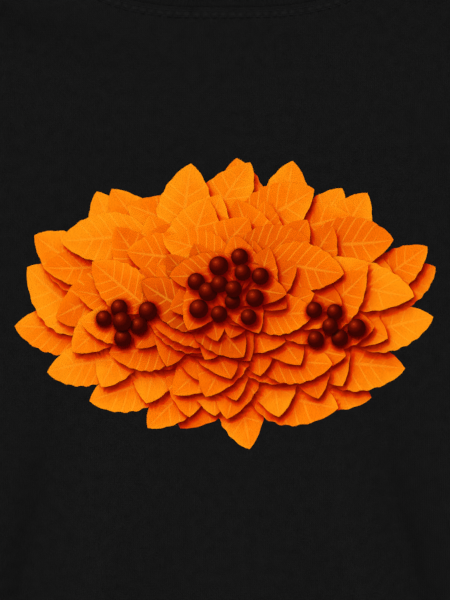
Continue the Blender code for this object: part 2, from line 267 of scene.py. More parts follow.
def edge_distance(points):
    """Distance to the nearest side seam, shoulder or sleeve edge."""
    folded = left_half(points)
    return np.min([segment_distance(folded, *ends)[0] for ends in CLOSED_EDGES], axis=0)


# ---- Folds of the laid cloth ----
# The front is simulated as one sheet that is a little larger than the outline it is laid to, with
# its sleeves cut to reach higher than they lie: the spare cloth rises into folds at the armholes,
# under the arms and down the sides, as it does on a real shirt put down by hand.
FOLD_STEP = 0.007
FOLD_FRAMES = 50
LAID_BY_FRAME = 35
SPARE_WIDTH = 0.018
SPARE_CHEST_WIDTH = 0.003
SPARE_LENGTH = 0.006
SPARE_MIDDLE = 0.4
SLEEVE_REACH = {"left": 3.0, "right": 2.25}
UNEVEN_SPOTS = 26
UNEVEN = 0.003
FOLD_SEED = 5
FOLD_HEIGHT = 0.72
SHEET_LEVEL = 0.0015
NET_HALF = 0.427
NET_TOP = 0.742


def garment_outline():
    half = np.array([HEM_CORNER, ARMPIT, CUFF_LOW, CUFF_TOP, SHOULDER])
    return np.vstack((half, NECK_LINE, mirror(half)[::-1]))


def cut_shape(points):
    """Where each place of the laid sheet was before it was laid."""
    cut = points.copy()
    for name, side in SIDES.items():
        in_sleeve = smooth(0.20, 0.30, side * points[:, 0]) * smooth(0.36, 0.44, points[:, 1])
        angle = math.radians(SLEEVE_REACH[name]) * side * in_sleeve
        dx, dy = (points - (side * SHOULDER[0], SHOULDER[1])).T
        cut[:, 0] += dx * np.cos(angle) - dy * np.sin(angle) - dx
        cut[:, 1] += dx * np.sin(angle) + dy * np.cos(angle) - dy
    chance = np.random.default_rng(FOLD_SEED)
    for _ in range(UNEVEN_SPOTS):
        centre = np.array((chance.uniform(-0.4, 0.4), chance.uniform(0, 0.72)))
        reach = chance.uniform(0.04, 0.12)
        pull = chance.normal(0, UNEVEN, 2)
        away = ((points - centre) ** 2).sum(axis=1)
        cut += np.exp(-away / reach ** 2)[:, None] * pull
    cut[:, 0] *= 1 + SPARE_CHEST_WIDTH + SPARE_WIDTH * (1 - smooth(0.30, 0.50, points[:, 1]))
    cut[:, 1] = SPARE_MIDDLE + (cut[:, 1] - SPARE_MIDDLE) * (1 + SPARE_LENGTH)
    return cut


def set_cloth(sheet):
    """A heavy jersey that bends in wide folds and slides easily on the layer below."""
    cloth = sheet.modifiers.new("laid", "CLOTH")
    put(cloth.settings, quality=8, mass=0.15, air_damping=3, tension_stiffness=12,
        compression_stiffness=12, shear_stiffness=6, bending_stiffness=25, tension_damping=5,
        compression_damping=5, shear_damping=5, bending_damping=0.5, vertex_group_mass="sewn",
        pin_stiffness=1)
    put(cloth.collision_settings, use_self_collision=False, distance_min=0.001, collision_quality=3,
        friction=2)
    put(cloth.point_cache, frame_start=1, frame_end=FOLD_FRAMES)


def settled(laid, quads, held):
    """Lays the sheet, lets it settle and tells how far each place has moved by then."""
    level = np.full((len(laid), 1), SHEET_LEVEL)
    mesh = bpy.data.meshes.new("laid_sheet")
    mesh.from_pydata(np.hstack((cut_shape(laid), level)).tolist(), [], quads)
    sheet = bpy.data.objects.new("laid_sheet", mesh)
    bpy.context.collection.objects.link(sheet)
    sheet.shape_key_add(name="cut")
    key = sheet.shape_key_add(name="laid")
    key.data.foreach_set("co", np.hstack((laid, level)).ravel())
    for value, at in ((0, 1), (1, LAID_BY_FRAME)):
        key.value = value
        key.keyframe_insert("value", frame=at)
    sheet.vertex_groups.new(name="sewn").add(np.flatnonzero(held).tolist(), 1.0, "REPLACE")
    set_cloth(sheet)
    bpy.ops.mesh.primitive_plane_add(size=2, location=(0, 0.35, 0))
    under = bpy.context.object
    under.modifiers.new("back_layer", "COLLISION")
    put(under.collision, thickness_outer=0.001, cloth_friction=2)
    for at in range(1, FOLD_FRAMES + 1):
        bpy.context.scene.frame_set(at)
    result = sheet.evaluated_get(bpy.context.evaluated_depsgraph_get()).to_mesh()
    final = np.zeros(len(laid) * 3)
    result.vertices.foreach_get("co", final)
    action = mesh.shape_keys.animation_data.action
    bpy.data.objects.remove(sheet)
    bpy.data.objects.remove(under)
    bpy.data.meshes.remove(mesh)
    bpy.data.actions.remove(action)
    bpy.context.scene.frame_set(1)
    return final.reshape(-1, 3) - np.hstack((laid, level))


def laid_folds():
    """How far each place of a square net over the garment moves as it is laid: (rows, columns, 3)."""
    columns = np.arange(-NET_HALF, NET_HALF + FOLD_STEP / 2, FOLD_STEP)
    rows = np.arange(-FOLD_STEP, NET_TOP, FOLD_STEP)
    places = np.stack(np.meshgrid(columns, rows), axis=-1).reshape(-1, 2)
    change = np.full((len(places), 3), np.nan)
    sewn_edge = np.minimum(edge_distance(places), line_distance(places, NECK_LINE[::8])[0])
    within = inside(places, garment_outline())
    used = within | (sewn_edge < FOLD_STEP)
    held = (sewn_edge < 0.8 * FOLD_STEP) | (~within & (places[:, 1] >= 0.001))
    number = np.cumsum(used) - 1
    quads = [number[list(quad)].tolist() for quad in grid_faces(len(rows), len(columns))
             if used[list(quad)].all()]
    change[used] = settled(places[used], quads, held[used])
    return carried_outward(change.reshape(len(rows), len(columns), 3)), places[0]


def carried_outward(field):
    """Fills the places outside the sheet from their neighbours, a few cells deep."""
    for _ in range(6):
        empty = np.isnan(field[..., 0])
        total = np.zeros_like(field)
        count = np.zeros(empty.shape)
        for axis in (0, 1):
            for step in (-1, 1):
                beside = np.roll(field, step, axis=axis)
                known = ~np.isnan(beside[..., 0])
                total[known] += beside[known]
                count += known
        fill = empty & (count > 0)
        field[fill] = total[fill] / count[fill][:, None]
    return np.nan_to_num(field)


def fold_moves(points):
    """A smooth reading of the laid folds at any place (cubic B-spline)."""
    place = (points - FOLD_ORIGIN) / FOLD_STEP
    cell = np.floor(place).astype(int)
    t = place - cell
    weights = ((1 - t) ** 3 / 6, (3 * t ** 3 - 6 * t ** 2 + 4) / 6,
               (-3 * t ** 3 + 3 * t ** 2 + 3 * t + 1) / 6, t ** 3 / 6)
    rows, columns = FOLD_FIELD.shape[:2]
    moved = np.zeros((len(points), 3))
    for j, i in itertools.product(range(4), repeat=2):
        column, row = np.clip(cell + (i - 1, j - 1), 0, (columns - 1, rows - 1)).T
        moved += (weights[i][:, 0] * weights[j][:, 1])[:, None] * FOLD_FIELD[row, column]
    return moved


# Long folds down the body: (top x, top y, foot x, foot y, half width at the top, height). Those with
# a negative height are hollows. The two deep ones run out from below the chest to the side seams.
DRAPES = (
    (-0.087, 0.440, -0.173, 0.050, 0.0085, -0.0100), (0.079, 0.445, 0.170, 0.040, 0.0085, -0.0102),
    (-0.120, 0.440, -0.208, 0.100, 0.0200, 0.0026), (0.112, 0.445, 0.207, 0.120, 0.0200, 0.0026),
    (-0.060, 0.410, -0.132, 0.000, 0.0150, 0.0110), (0.056, 0.410, 0.124, 0.000, 0.0150, 0.0110),
    (-0.033, 0.372, -0.074, -0.010, 0.0130, -0.0066), (0.030, 0.368, 0.068, -0.010, 0.0130, -0.0066),
    (-0.024, 0.250, -0.036, -0.010, 0.0170, 0.0018))


def crease(width, distance):
    """The section of a fold that turns quickly at its middle and runs out slowly to its sides."""
    turn = 0.22 * width
    return np.exp((turn - np.sqrt(distance ** 2 + turn ** 2)) / width)


def drapes(points):
    height = np.zeros(len(points))
    for top_x, top_y, foot_x, foot_y, half_width, tall in DRAPES:
        down = (top_y - points[:, 1]) / (top_y - foot_y)
        sway = 0.005 * (np.sin(5 * down + 30 * top_x) - math.sin(30 * top_x))
        across = points[:, 0] - mix(top_x, foot_x, down) - sway
        wide = half_width * mix(0.9, 1.8, np.clip(down, 0, 1))
        section = crease(wide, across) if tall < 0 else bump(0, wide, across)
        height += tall * smooth(-0.04, 0.30, down) * smooth(1.25, 0.80, down) * section
    return height


# ---- The garment's outer face ----

def crown(points):
    x, y = np.abs(points[:, 0]), points[:, 1]
    height = mix(BODY_CROWN, SLEEVE_CROWN, smooth(0.20, 0.28, x))
    height = mix(height, NECK_CROWN, smooth(0.56, 0.63, y) * (1 - smooth(0.12, 0.22, x)))
    return mix(height, HEM_CROWN, 1 - smooth(0.02, 0.14, y))


def opening_distance(points):
    """Distance to the hem, or to the cuff for places on a sleeve."""
    folded = left_half(points)
    in_sleeve = (folded[:, 0] > ARMPIT[0]) & (folded[:, 1] > CUFF_LOW[1] - HEM_BAND)
    return np.where(in_sleeve, cuff_distance(folded), points[:, 1])


def underside(points):
    return HEM_LIFT * (1 - smooth(LIFT_FROM, LIFT_TO, opening_distance(points)))


def rounded(distance):
    """How a folded or sewn edge turns over: 0 at the edge, 1 past its curve."""
    near = 1 - np.clip(distance / EDGE_ROUND, 0, 1)
    return np.sqrt(1 - near * near)


def neck_seam(points):
    """Which points are near the collar seam, how far below it, and how full the pucker is there."""
    lowest = BODY_LENGTH - FRONT_DROP - SEAM_REACH
    close = (np.abs(points[:, 0]) < NECK_HALF + SEAM_REACH) & (points[:, 1] > lowest)
    distance, along = line_distance(points[close], NECK_LINE)
    turns = 2 * math.pi * along / PUCKER_PITCH + 0.7 * np.sin(along * 90)
    return close, distance, (0.5 + 0.5 * np.cos(turns)) ** 1.1


def neck_relief(points):
    """The collar seam: a shallow ditch, a flat step and a row of puckers, held down by stitches."""
    relief = np.zeros(len(points))
    close, distance, full = neck_seam(points)
    step = np.interp(distance, *np.array(NECK_SECTION).T)
    pucker = np.interp(distance, *np.array(PUCKER_SECTION).T)
    inner, outer = (bump(row, 0.0005, distance) for row in NECK_ROWS.values())
    relief[close] = step + pucker * full - NEEDLE_HOLE * (0.3 * inner + outer)
    return relief


def pucker_highlight_and_hem_wear(points):
    """Painted highlight on the lit sides of the collar's puckers, and real wear on the hem's fold."""
    # Real wear: paler dye along the hem's fold.
    highlight_and_worn = 0.5 * bump(0.0, RUBBED_HEM_WIDTH, points[:, 1])
    close, distance, full = neck_seam(points)
    # Painted highlight: the puckers' sides towards the light are painted paler.
    highlight_and_worn[close] += bump(PUCKER_HIGHLIGHT_DEPTH, PUCKER_HIGHLIGHT_WIDTH, distance) * full
    return highlight_and_worn


def band_relief(points):
    """The turned-up hems: a thicker band, two sunk rows of stitches and the ridge between them."""
    distance = opening_distance(points)
    upper, lower = HEM_ROWS["upper"], HEM_ROWS["lower"]
    place = points[:, 0] + points[:, 1] * 0.7
    uneven = 0.6 + 0.4 * np.sin(place * 2 * math.pi / BAND_UNEVEN_PITCH + 1.7 * np.sin(place * 61))
    ripple = 0.5 + 0.5 * np.sin(place * 2 * math.pi / BAND_PUCKER_PITCH)
    band = BAND_STEP * (1 - smooth(HEM_BAND - 0.001, HEM_BAND + 0.002, distance))
    rows = bump(upper, 0.0008, distance) + bump(lower, 0.0008, distance)
    ridge = bump((upper + lower) / 2, 0.0018, distance)
    pucker = bump(upper + 0.003, 0.004, distance) * uneven * ripple
    return band - BAND_GROOVE * rows + BAND_RIDGE * ridge + BAND_PUCKER * pucker


def armhole_relief(points):
    """The sleeve seam: a narrow valley with short puckers on both sides."""
    folded = left_half(points)
    relief = np.zeros(len(points))
    close = (folded[:, 0] > 0.19) & (folded[:, 1] > ARMPIT[1] - 0.01)
    distance, along = line_distance(folded[close], ARMHOLE_LINE)
    turns = 2 * math.pi * along / ARMHOLE_PUCKER_PITCH
    pucker = np.sin(turns + 2 * np.sin(along * 37 + points[close, 0])) * bump(0.002, 0.004, distance)
    relief[close] = ARMHOLE_PUCKER * pucker - ARMHOLE_VALLEY * bump(0, 0.0012, distance)
    return relief


def room_below(points):
    """How far the front stands off the back layer, without folds."""
    ramp = np.clip(edge_distance(points) / EDGE_RAMP, 0, 1)
    return crown(points) * np.sqrt(1 - (1 - ramp) ** 2)


def front_level(points):
    """The laid height of the front's outer face, without folds."""
    closed = mix(SEAM_LEVEL, STACK, rounded(edge_distance(points)))
    return underside(points) + closed + room_below(points)


def held_up(folds, room):
    """Folds whose hollows stop at the back layer, at most room below."""
    share = np.maximum(-folds, 0) / np.maximum(room, 1e-6)
    return np.where(folds < 0, -room * share / (1 + share ** 6) ** (1 / 6), folds)


def flat_chest(points):
    """How much of the laid folds shows: little on the chest, which is smoothed flat by hand."""
    away = np.hypot(points[:, 0] / 0.165, (points[:, 1] - PRINT_CENTRE[1]) / 0.21)
    return mix(0.22, 1.0, smooth(0.55, 1.15, away))


def surface(points):
    """Places in plan, lifted to the garment's outer face."""
    moved = fold_moves(points) * flat_chest(points)[:, None]
    settle = smooth(0, 0.03, edge_distance(points))
    folds = FOLD_HEIGHT * moved[:, 2] + settle * drapes(points)
    height = front_level(points) + held_up(folds, room_below(points))
    height += neck_relief(points) + band_relief(points) + armhole_relief(points)
    return placed(points + moved[:, :2], height)


def facing(points, reach=0.0008):
    """The outer face's direction at each place."""
    across = surface(points + (reach, 0)) - surface(points - (reach, 0))
    up = surface(points + (0, reach)) - surface(points - (0, reach))
    return unit(np.cross(across, up))


def back_level(points):
    """The back layer, turned up to meet the front along the seams."""
    return underside(points) + mix(SEAM_LEVEL, JERSEY / 2, rounded(edge_distance(points)))


def back_surface(points):
    return placed(points, back_level(points))


# ---- Materials ----
# Sizes of the patterns. A real jersey has about 0.7 mm to a column of stitches and 0.6 mm to a row,
# its fuzz is of fibres about 0.02 mm thick, and soft ink dries with a grain of about 0.3 mm: all of
# these are drawn coarser, so that they show.
JERSEY_WALE = 0.0011
JERSEY_COURSE = 0.0010
COLUMN_WANDER = 0.00625
FUZZ = 0.0009
FUZZ_PATCH = 0.00526
PLY_TWIST = 0.0004
INK_GRAIN = 0.00111
INK_CLOUD = 0.00833
COTTON_BLACKS = ("#0a0a0a", "#1b1b1b")
# The paler dye of the painted highlight on the collar's puckers and of the worn hem fold, and how much
# is mixed in.
HIGHLIGHT_AND_WORN_DYE = "#2c2c2c"
HIGHLIGHT_AND_WEAR_SHARE = 0.18
VEINS = 8
LEAF_TONES = ((0.20, "#8c1900"), (0.42, "#be3700"), (0.66, "#dc4e00"), (0.92, "#ee6000"),
              (1.18, "#fa7400"), (1.50, "#ff920a"))
LEAF_RANGE = 1.6
LEAF_SHADOW = ((0.0, "#ffffff"), (0.45, "#e06820"), (1.0, "#7c1000"))
BERRY_TONES = ((0.0, "#d24a14"), (0.154, "#9c1e04"), (0.477, "#640a00"), (0.923, "#3a0300"))


def linear(hexcode):
    """An sRGB hex colour as linear light."""
    values = [int(hexcode[k:k + 2], 16) / 255 for k in (1, 3, 5)]
    return [v / 12.92 if v <= 0.04045 else ((v + 0.055) / 1.055) ** 2.4 for v in values] + [1.0]


def fill(node, inputs):
    """Sets sockets to a number, a hex colour, a socket, or the first output of another node."""
    for socket, value in inputs.items():
        if isinstance(value, bpy.types.Node):
            value = value.outputs[0]
        if isinstance(value, bpy.types.NodeSocket):
            node.id_data.links.new(value, node.inputs[socket])
        else:
            node.inputs[socket].default_value = linear(value) if isinstance(value, str) else value


def add(tree, kind, inputs=None, stops=(), **settings):
    """Adds a node with its settings and links; stops are the places and colours of a ramp."""
    node = tree.nodes.new("ShaderNode" + kind)
    put(node, **settings)
    fill(node, inputs or {})
    elements = node.color_ramp.elements if stops else ()
    while len(elements) < len(stops):
        elements.new(0.5)
    for element, (position, colour) in zip(elements, stops):
        element.position, element.color = position, linear(colour)
    return node


def new_material(name):
    """A material, its shader, and add() for its own nodes."""
    material = bpy.data.materials.new(name)
    material.use_nodes = True
    return material, material.node_tree.nodes["Principled BSDF"], partial(add, material.node_tree)


def knit_stitches(node, wale, course):
    """Columns of V stitches: the cloth's place, the columns' and loops' waves, and both together."""
    place = node("UVMap", uv_map="cloth")
    xyz = node("SeparateXYZ", {0: place})
    wander = node("TexNoise", {"Vector": place, "Scale": 1 / COLUMN_WANDER, "Detail": 2.0})
    u = node("Math", {0: xyz.outputs["X"], 1: 1 / wale}, operation="MULTIPLY")
    u = node("Math", {0: wander, 1: 0.35, 2: u}, operation="MULTIPLY_ADD")
    leg = node("Math", {0: u, 1: 0.5}, operation="PINGPONG")
    v = node("Math", {0: xyz.outputs["Y"], 1: 1 / course}, operation="MULTIPLY")
    v = node("Math", {0: leg, 1: 1.3, 2: v}, operation="MULTIPLY_ADD")
    v = node("Math", {0: v, 1: 2 * math.pi}, operation="MULTIPLY")
    loop = node("Math", {0: v}, operation="SINE")
    column = node("Math", {0: leg, 1: 1.1}, operation="MULTIPLY")
    knit = node("Math", {0: loop, 1: 0.15, 2: column}, operation="MULTIPLY_ADD")
    return place, column, loop, knit


def knitted(name, dark, light, wale=JERSEY_WALE, course=JERSEY_COURSE, strength=0.60):
    """Ring-spun cotton, knitted and dyed black: quite matt, with a faint sheen from its fuzz.

    The eye gets soft columns of stitches, patches of fuzz a few millimetres wide that are a little
    paler, paler dye where the hem's fold is worn, and a painted highlight on the lit sides of the
    collar's puckers.
    """
    material, shader, node = new_material(name)
    place, column, loop, knit = knit_stitches(node, wale, course)
    hairs = node("TexNoise", {"Vector": place, "Scale": 1 / FUZZ, "Detail": 5.0, "Roughness": 0.7})
    patch = node("TexNoise", {"Vector": place, "Scale": 1 / FUZZ_PATCH, "Detail": 2.0,
                              "Roughness": 0.6})
    tone = hairs
    for part, share in ((patch, 0.35), (column, 0.16), (loop, 0.05)):
        tone = node("Math", {0: part, 1: share, 2: tone}, operation="MULTIPLY_ADD")
    dye = node("ValToRGB", {"Fac": tone}, stops=((0.48, dark), (1.0, light)))
    # Paler dye for the painted highlight on the collar's puckers and for the real wear on the hem fold.
    highlight_and_wear = node("Attribute", attribute_name="pucker_highlight_and_hem_wear").outputs["Fac"]
    highlight_and_wear = node("Math", {0: highlight_and_wear, 1: HIGHLIGHT_AND_WEAR_SHARE}, operation="MULTIPLY")
    relief = node("Math", {0: hairs, 1: 1.2, 2: knit}, operation="MULTIPLY_ADD")
    fill(shader, {"Base Color": node("MixRGB", {"Fac": highlight_and_wear, "Color1": dye, "Color2": HIGHLIGHT_AND_WORN_DYE}),
                  "Normal": node("Bump", {"Height": relief, "Strength": strength, "Distance": 0.0003}),
                  "Roughness": 0.92, "Specular IOR Level": 0.05,
                  "Sheen Weight": 0.06, "Sheen Roughness": 0.28, "Sheen Tint": "#c0c0c0"})
    return material


def spun_thread():
    """Spun polyester sewing thread, dyed black: twisted plies, a little glossier than the cloth."""
    material, shader, node = new_material("black_spun_polyester_thread")
    place = node("TexCoord").outputs["Object"]
    twist = node("TexNoise", {"Vector": place, "Scale": 1 / PLY_TWIST, "Detail": 1.0})
    # The base colour is a little paler than the cloth's: painted sheen.
    fill(shader, {"Base Color": "#19191a", "Roughness": 0.70, "Specular IOR Level": 0.08,
                  "Normal": node("Bump", {"Height": twist, "Strength": 0.4, "Distance": 0.0001})})
    return material


def leaf_colour(node):
    """Blended oranges, brighter to the tips, with paler veins and the shadows of other leaves."""
    along, across, tone, shade, fold = (
        node("Attribute", attribute_name=name).outputs["Fac"]
        for name in ("along", "across", "tone", "shade", "fold"))
    where = node("TexCoord").outputs["Object"]
    cloud = node("TexNoise", {"Vector": where, "Scale": 1 / INK_CLOUD, "Detail": 3.0})
    edge = node("Math", {0: across}, operation="ABSOLUTE")
    body = node("Math", {0: along, 1: 0.34, 2: tone}, operation="MULTIPLY_ADD")
    for part, share in ((edge, 0.16), (fold, 0.10), (cloud, 0.30)):
        body = node("Math", {0: part, 1: share, 2: body}, operation="MULTIPLY_ADD")
    body = node("Math", {0: body, 1: 1 / LEAF_RANGE}, operation="MULTIPLY")
    stops = [(place / LEAF_RANGE, colour) for place, colour in LEAF_TONES]
    orange = node("ValToRGB", {"Fac": body}, stops=stops)
    wave = node("Math", {0: edge, 1: -0.16, 2: along}, operation="MULTIPLY_ADD")
    wave = node("Math", {0: wave, 1: 2 * math.pi * VEINS}, operation="MULTIPLY")
    wave = node("Math", {0: wave}, operation="COSINE")
    side_vein = node("MapRange", {"Value": wave, "From Min": 0.80, "From Max": 1.0})
    inner = node("MapRange", {"Value": along, "From Min": 0.84, "From Max": 0.72})
    side_vein = node("Math", {0: side_vein, 1: inner}, operation="MULTIPLY")
    midrib = node("MapRange", {"Value": edge, "From Min": 0.09, "From Max": 0.02})
    veins = node("Math", {0: side_vein, 1: midrib}, operation="MAXIMUM")
    veins = node("Math", {0: veins, 1: 0.42}, operation="MULTIPLY")
    veined = node("MixRGB", {"Fac": veins, "Color1": orange, "Color2": "#ffa81e"})
    shadow = node("ValToRGB", {"Fac": shade}, stops=LEAF_SHADOW)
    return node("MixRGB", {"Fac": 1.0, "Color1": veined, "Color2": shadow}, blend_type="MULTIPLY")


def berry_colour(node):
    """Maroon, with a lighter side on each berry and the shadows of its neighbours."""
    along, shade = (node("Attribute", attribute_name=name).outputs["Fac"]
                    for name in ("along", "shade"))
    maroon = node("ValToRGB", {"Fac": along}, stops=BERRY_TONES)
    return node("MixRGB", {"Fac": shade, "Color1": maroon, "Color2": "#240200"})


def printed(name, colour):
    """Soft water-based ink, screen-printed: bright and matt, and the knit shows through it."""
    material, shader, node = new_material(name)
    place, _, _, knit = knit_stitches(node, JERSEY_WALE, JERSEY_COURSE)
    grain = node("TexNoise", {"Vector": place, "Scale": 1 / INK_GRAIN, "Detail": 3.0})
    relief = node("Math", {0: grain, 1: 0.8, 2: knit}, operation="MULTIPLY_ADD")
    fill(shader, {"Base Color": colour(node), "Roughness": 0.85, "Specular IOR Level": 0.02,
                  "Normal": node("Bump", {"Height": relief, "Strength": 0.35, "Distance": 0.0002})})
    return material


JERSEY_CLOTH = knitted("black_cotton_jersey", *COTTON_BLACKS)
RIB_CLOTH = knitted("black_cotton_rib", *COTTON_BLACKS)
# Polyester twill tape and overlocked edges are smoother than jersey: less spread from dark to light.
TWILL_TAPE = knitted("black_twill_tape", "#101011", "#19191a", 0.0010, 0.0010, 0.5)
OVERLOCK_CLOTH = knitted("black_overlocked_edge", "#101011", "#1a1a1b", 0.0010, 0.0016)
SPUN_THREAD = spun_thread()
LEAF_INK = printed("soft_leaf_ink", leaf_colour)
BERRY_INK = printed("soft_berry_ink", berry_colour)


# ---- Mesh tools ----

def piece(name, corners, faces, flat, material, replaced=(), values=None):
    """A mesh that rides on the garment.

    flat holds each corner's place on the cloth in metres, replaced the CAD nodes that the piece
    stands for, and values any named numbers for each corner that its material reads.
    """
    mesh = bpy.data.meshes.new(name)
    mesh.from_pydata(np.asarray(corners).tolist(), [], faces)
    if flat is not None:
        layer = mesh.uv_layers.new(name="cloth")
        used = np.zeros(len(mesh.loops), np.int32)
        mesh.loops.foreach_get("vertex_index", used)
        layer.data.foreach_set("uv", np.asarray(flat)[used].ravel())
    for key, numbers in (values or {}).items():
        layer = mesh.attributes.new(key, "FLOAT", "POINT")
        layer.data.foreach_set("value", np.asarray(numbers, np.float32))
    mesh.shade_smooth()
    mesh.validate()
    mesh.materials.append(material)
    obj = bpy.data.objects.new(name, mesh)
    bpy.context.collection.objects.link(obj)
    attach(obj, BODY)
    if replaced:
        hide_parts(*replaced)
    return obj


def grid_faces(rows, columns, closed=False, start=0):
    """Quads between the points of a grid, row by row; closed joins the last column to the first."""
    faces = []
    for row in range(rows - 1):
        for column in range(columns if closed else columns - 1):
            after = (column + 1) % columns
            low, high = start + row * columns, start + (row + 1) * columns
            faces.append((low + column, low + after, high + after, high + column))
    return faces


def inward(line):
    """Unit directions to the left of a polyline, at each of its points."""
    x, y = unit(np.gradient(line, axis=0)).T
    return np.column_stack((-y, x))


def net(edges, spacing):
    """A triangle net inside a closed outline.

    edges is a list of (points along this edge, distances of the extra rows inside it). The rows are
    close together where the cloth has seams, and the rest is an even net.
    """
    outline = np.vstack([points[:-1] for points, _ in edges])
    rows = []
    for index, (points, depths) in enumerate(edges):
        for depth in depths:
            row = points + inward(points) * depth
            keep = inside(row, outline)
            for other, (line, other_depths) in enumerate(edges):
                own = other == index
                limit = 0.97 * depth if own else min(depth, max(other_depths) + 0.4 * spacing)
                keep &= line_distance(row, line)[0] >= limit
            rows.append(row[keep])
    low, high = outline.min(axis=0), outline.max(axis=0)
    step = spacing * math.sqrt(3) / 2
    heights = np.arange(low[1], high[1], step)
    lattice = []
    for j, y in enumerate(heights):
        x = np.arange(low[0] + 0.5 * spacing * (j % 2), high[0], spacing)
        lattice.append(np.column_stack((x, np.full(len(x), y))))
    lattice = np.vstack(lattice)
    keep = inside(lattice, outline)
    for line, depths in edges:
        keep &= line_distance(lattice, line)[0] >= max(depths) + 0.55 * spacing
    chance = np.random.default_rng(11)
    lattice = lattice[keep] + chance.uniform(-0.04, 0.04, (keep.sum(), 2)) * spacing
    places = [Vector(p) for p in np.vstack([outline] + rows + [lattice])]
    result = delaunay_2d_cdt(places, [], [list(range(len(outline)))], 1, 1e-8)
    return np.array([tuple(p) for p in result[0]]), [tuple(face) for face in result[2]], result[3]


def straight(start, end, step):
    count = max(2, int(round(np.hypot(*(end - start)) / step)) + 1)
    return np.linspace(start, end, count)


# ---- Body panels ----
HEM_DEPTHS = np.arange(0.0011, 0.0255, 0.0011)
NECK_DEPTHS = np.concatenate((np.arange(0.0004, 0.0072, 0.00045), (0.0080, 0.0092, 0.0108, 0.0130)))
EDGE_DEPTHS = (0.00012, 0.0004, 0.0008, 0.0013, 0.0022, 0.0036, 0.0056)
SEAM_DEPTHS = (0.0005, 0.0010, 0.0016, 0.0024, 0.0036, 0.0054, 0.0078)


def body_edges(neck, neck_depths, step, fine_step):
    """A body panel's edges, counter-clockwise from the hem's right end."""
    side = straight(HEM_CORNER, ARMPIT, step)
    sleeve = even(ARMHOLE_LINE[::-1], int(0.25 / step) + 1)
    shoulder = straight(SHOULDER, NECK_END, step)
    collar = even(neck, int(length_of(neck) / fine_step) + 1)
    hem = straight(mirror(HEM_CORNER), HEM_CORNER, step)
    left = [(side, EDGE_DEPTHS), (sleeve, SEAM_DEPTHS), (shoulder, EDGE_DEPTHS)]
    right = [(mirror(points)[::-1], depths) for points, depths in reversed(left)]
    return [(hem, HEM_DEPTHS)] + left + [(collar, neck_depths)] + right


def turned_hem(lift, hem, sign):
    """Rows that carry on round the hem's fold and up inside; sign is -1 for the front."""
    thick = 2 * JERSEY
    rows = []
    for angle in np.radians((30, 60, 90, 120, 150, 180)):
        out, turn = math.sin(angle), 1 - math.cos(angle)
        rows.append(lift(hem) + (0, -out * thick / 2, sign * turn * thick / 2))
    for up in (0.0015, 0.004, 0.008, 0.013, 0.018, HEM_BAND):
        rows.append(lift(hem + (0, up)) + (0, 0, sign * thick))
    return rows


def make_panel(node, lift, edges, spacing, sign, highlight_and_wear=None):
    places, faces, origins = net(edges, spacing)
    hem = edges[0][0]
    count = len(hem)
    found = {tuple(source): k for k, source in enumerate(origins) if len(source) == 1}
    below = [found[(k,)] for k in range(count)]
    rows = turned_hem(lift, hem, sign)
    flat = [places]
    for j in range(len(rows)):
        here = [len(places) + j * count + k for k in range(count)]
        faces += [(here[k], here[k + 1], below[k + 1], below[k]) for k in range(count - 1)]
        flat.append(np.column_stack((hem[:, 0], np.full(count, -0.002 * (j + 1)))))
        below = here
    flat = np.vstack(flat)
    # The front gets the painted highlight on its collar puckers and the real wear on its hem fold.
    values = {"pucker_highlight_and_hem_wear": highlight_and_wear(flat)} if highlight_and_wear else {}
    corners = np.vstack([lift(places)] + rows)
    return piece(node + "_cloth", corners, faces, flat, JERSEY_CLOTH, [node], values)


def make_body():
    edges = body_edges(NECK_LINE, NECK_DEPTHS, 0.0032, 0.0009)
    front = make_panel("front_panel", surface, edges, 0.0033, -1, pucker_highlight_and_hem_wear)
    edges = body_edges(back_neck(), (0.0010, 0.0030), 0.0065, 0.0040)
    return front, make_panel("back_panel", back_surface, edges, 0.0075, 1)


# ---- Sleeves ----

def across_steps(count):
    """Places across a sleeve, closer together near its two edges."""
    t = np.linspace(0, 1, count)
    near = np.array((0.0007, 0.0022, 0.005, 0.010))
    return np.unique(np.concatenate((t, near, 1 - near)))


def sleeve_rows():
    """Places across the left sleeve, and rows across it from the armhole to the cuff."""
    t = across_steps(62)
    seam = armhole(t)
    band_top = np.array(cuff_line(0.030))
    band_row = mix(band_top[0], band_top[1], t[:, None])
    reach = np.hypot(*(band_row - seam).T)
    rows = []
    for depth in (0.0,) + SEAM_DEPTHS:
        share = np.minimum(depth / reach, 0.12 * depth / SEAM_DEPTHS[-1])
        rows.append(mix(seam, band_row, share[:, None]))
    rows += [mix(rows[-1], band_row, share) for share in np.linspace(0, 1, 46)[1:]]
    for distance in np.arange(0.029, -0.0001, -0.00115):
        top, low = cuff_line(max(distance, 0.0))
        rows.append(mix(top, low, t[:, None]))
    return t, rows


def around(row):
    """A ring round a sleeve: a row on its front, then the same row on its back, without the ends."""
    return np.vstack((surface(row), back_surface(row)[-2:0:-1]))


